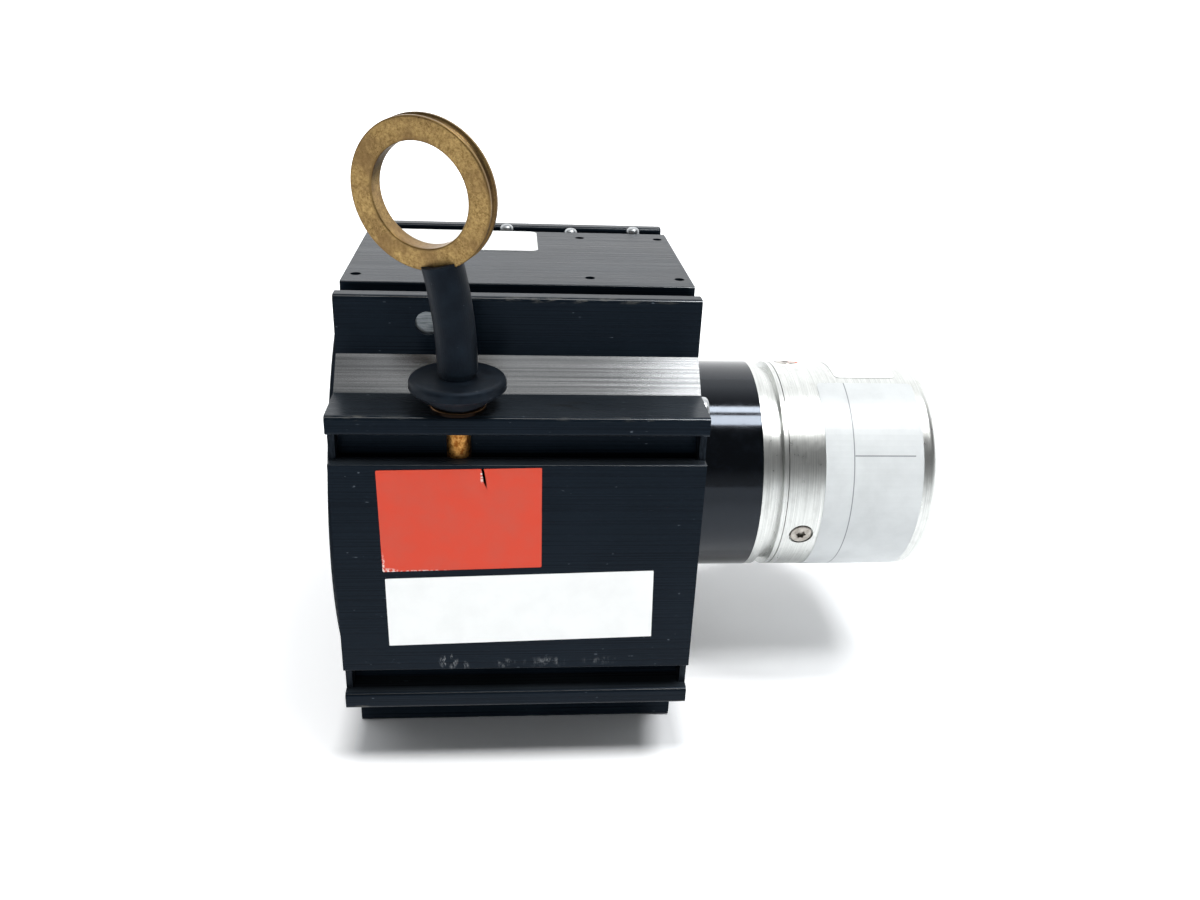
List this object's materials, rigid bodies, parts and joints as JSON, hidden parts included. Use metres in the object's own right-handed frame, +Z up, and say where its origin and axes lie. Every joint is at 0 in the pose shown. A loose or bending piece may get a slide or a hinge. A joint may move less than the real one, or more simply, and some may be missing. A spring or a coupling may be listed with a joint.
{
  "type": "draw wire encoder",
  "caption": "Square extruded housing with a spring-loaded wire drum, a round shaft encoder on its side, and a wire that leaves upward through a brass nozzle to a bump stop and an eye ring",
  "frame": {"origin": "middle of the housing's underside", "axes": "+X along the drum's axis towards the encoder, +Y to the rear, +Z up, the way the wire is drawn"},
  "size_m": [0.1534, 0.1227, 0.1589],
  "materials": {
    "anodised": "satin black anodised",
    "black_lacquer": "gloss black",
    "plate_aluminium": "milled",
    "encoder_aluminium": "fine turned",
    "brass": "dull with patina",
    "rubber": "matte",
    "spring_steel": "blued",
    "steel": "ground",
    "screw_steel": "zinc plated",
    "wire_steel": "stranded",
    "disc_glass": "clear with a printed track",
    "board": "solder resist",
    "nickel": "nickel plated",
    "insert_plastic": "moulded",
    "contact": "gold plated"
  },
  "bodies": {
    "housing": {"housing_profile": "anodised", "left_plate": "plate_aluminium", "middle_plate": "plate_aluminium", "right_plate": "plate_aluminium", "left_cover": "anodised", "cover_screw_1": "screw_steel", "cover_screw_2": "screw_steel", "cover_screw_3": "screw_steel", "cover_screw_4": "screw_steel", "corner_screw_1": "screw_steel", "corner_screw_2": "screw_steel", "corner_screw_3": "screw_steel", "corner_screw_4": "screw_steel", "set_screw_1": "screw_steel", "set_screw_2": "screw_steel", "set_screw_3": "screw_steel", "set_screw_4": "screw_steel", "set_screw_5": "screw_steel", "set_screw_6": "screw_steel", "lip_plug": "steel", "slot_nut_1": "screw_steel", "slot_nut_2": "screw_steel", "slot_nut_3": "screw_steel", "slot_screw_1": "screw_steel", "slot_screw_2": "screw_steel", "slot_screw_3": "screw_steel", "nozzle": "brass", "bearing_left": "steel", "bearing_middle": "steel", "bearing_right": "steel", "power_spring": "spring_steel", "spring_anchor": "steel", "adapter": "black_lacquer", "encoder_flange": "encoder_aluminium", "encoder_bearing_1": "steel", "encoder_bearing_2": "steel", "encoder_board": "board", "encoder_housing": "encoder_aluminium", "body_screw_1": "screw_steel", "body_screw_2": "screw_steel", "body_screw_3": "screw_steel", "connector_shell": "nickel", "connector_insert": "insert_plastic", "connector_pins": "contact"},
    "drum": {"drum": "plate_aluminium", "drum_shaft": "steel", "wire_winding": "wire_steel", "spring_arbor": "steel", "shaft_coupling": "plate_aluminium", "encoder_shaft": "steel", "code_disc": "disc_glass"},
    "wire_end": {"draw_wire": "wire_steel", "wire_tail": "wire_steel", "wire_terminal": "steel", "bump_stop": "rubber", "sleeve": "rubber", "eye_ring": "brass"}
  },
  "joints": [
    {"name": "drum_spin", "type": "hinge", "parent": "housing", "child": "drum", "pos_m": [0, 0, 0.059], "axis": [-1, 0, 0], "range_deg": [0, 2160], "stiffness_Nm_per_rad": 0.005, "springref_deg": -3666.93},
    {"name": "wire_draw", "type": "slide", "parent": "housing", "child": "wire_end", "axis": [0, 0, 1], "range_m": [0, 2], "deforming": ["draw_wire"]}
  ],
  "couplings": [
    {"joint": "wire_draw", "follows": "drum_spin", "m_per_rad": 0.05305}
  ]
}
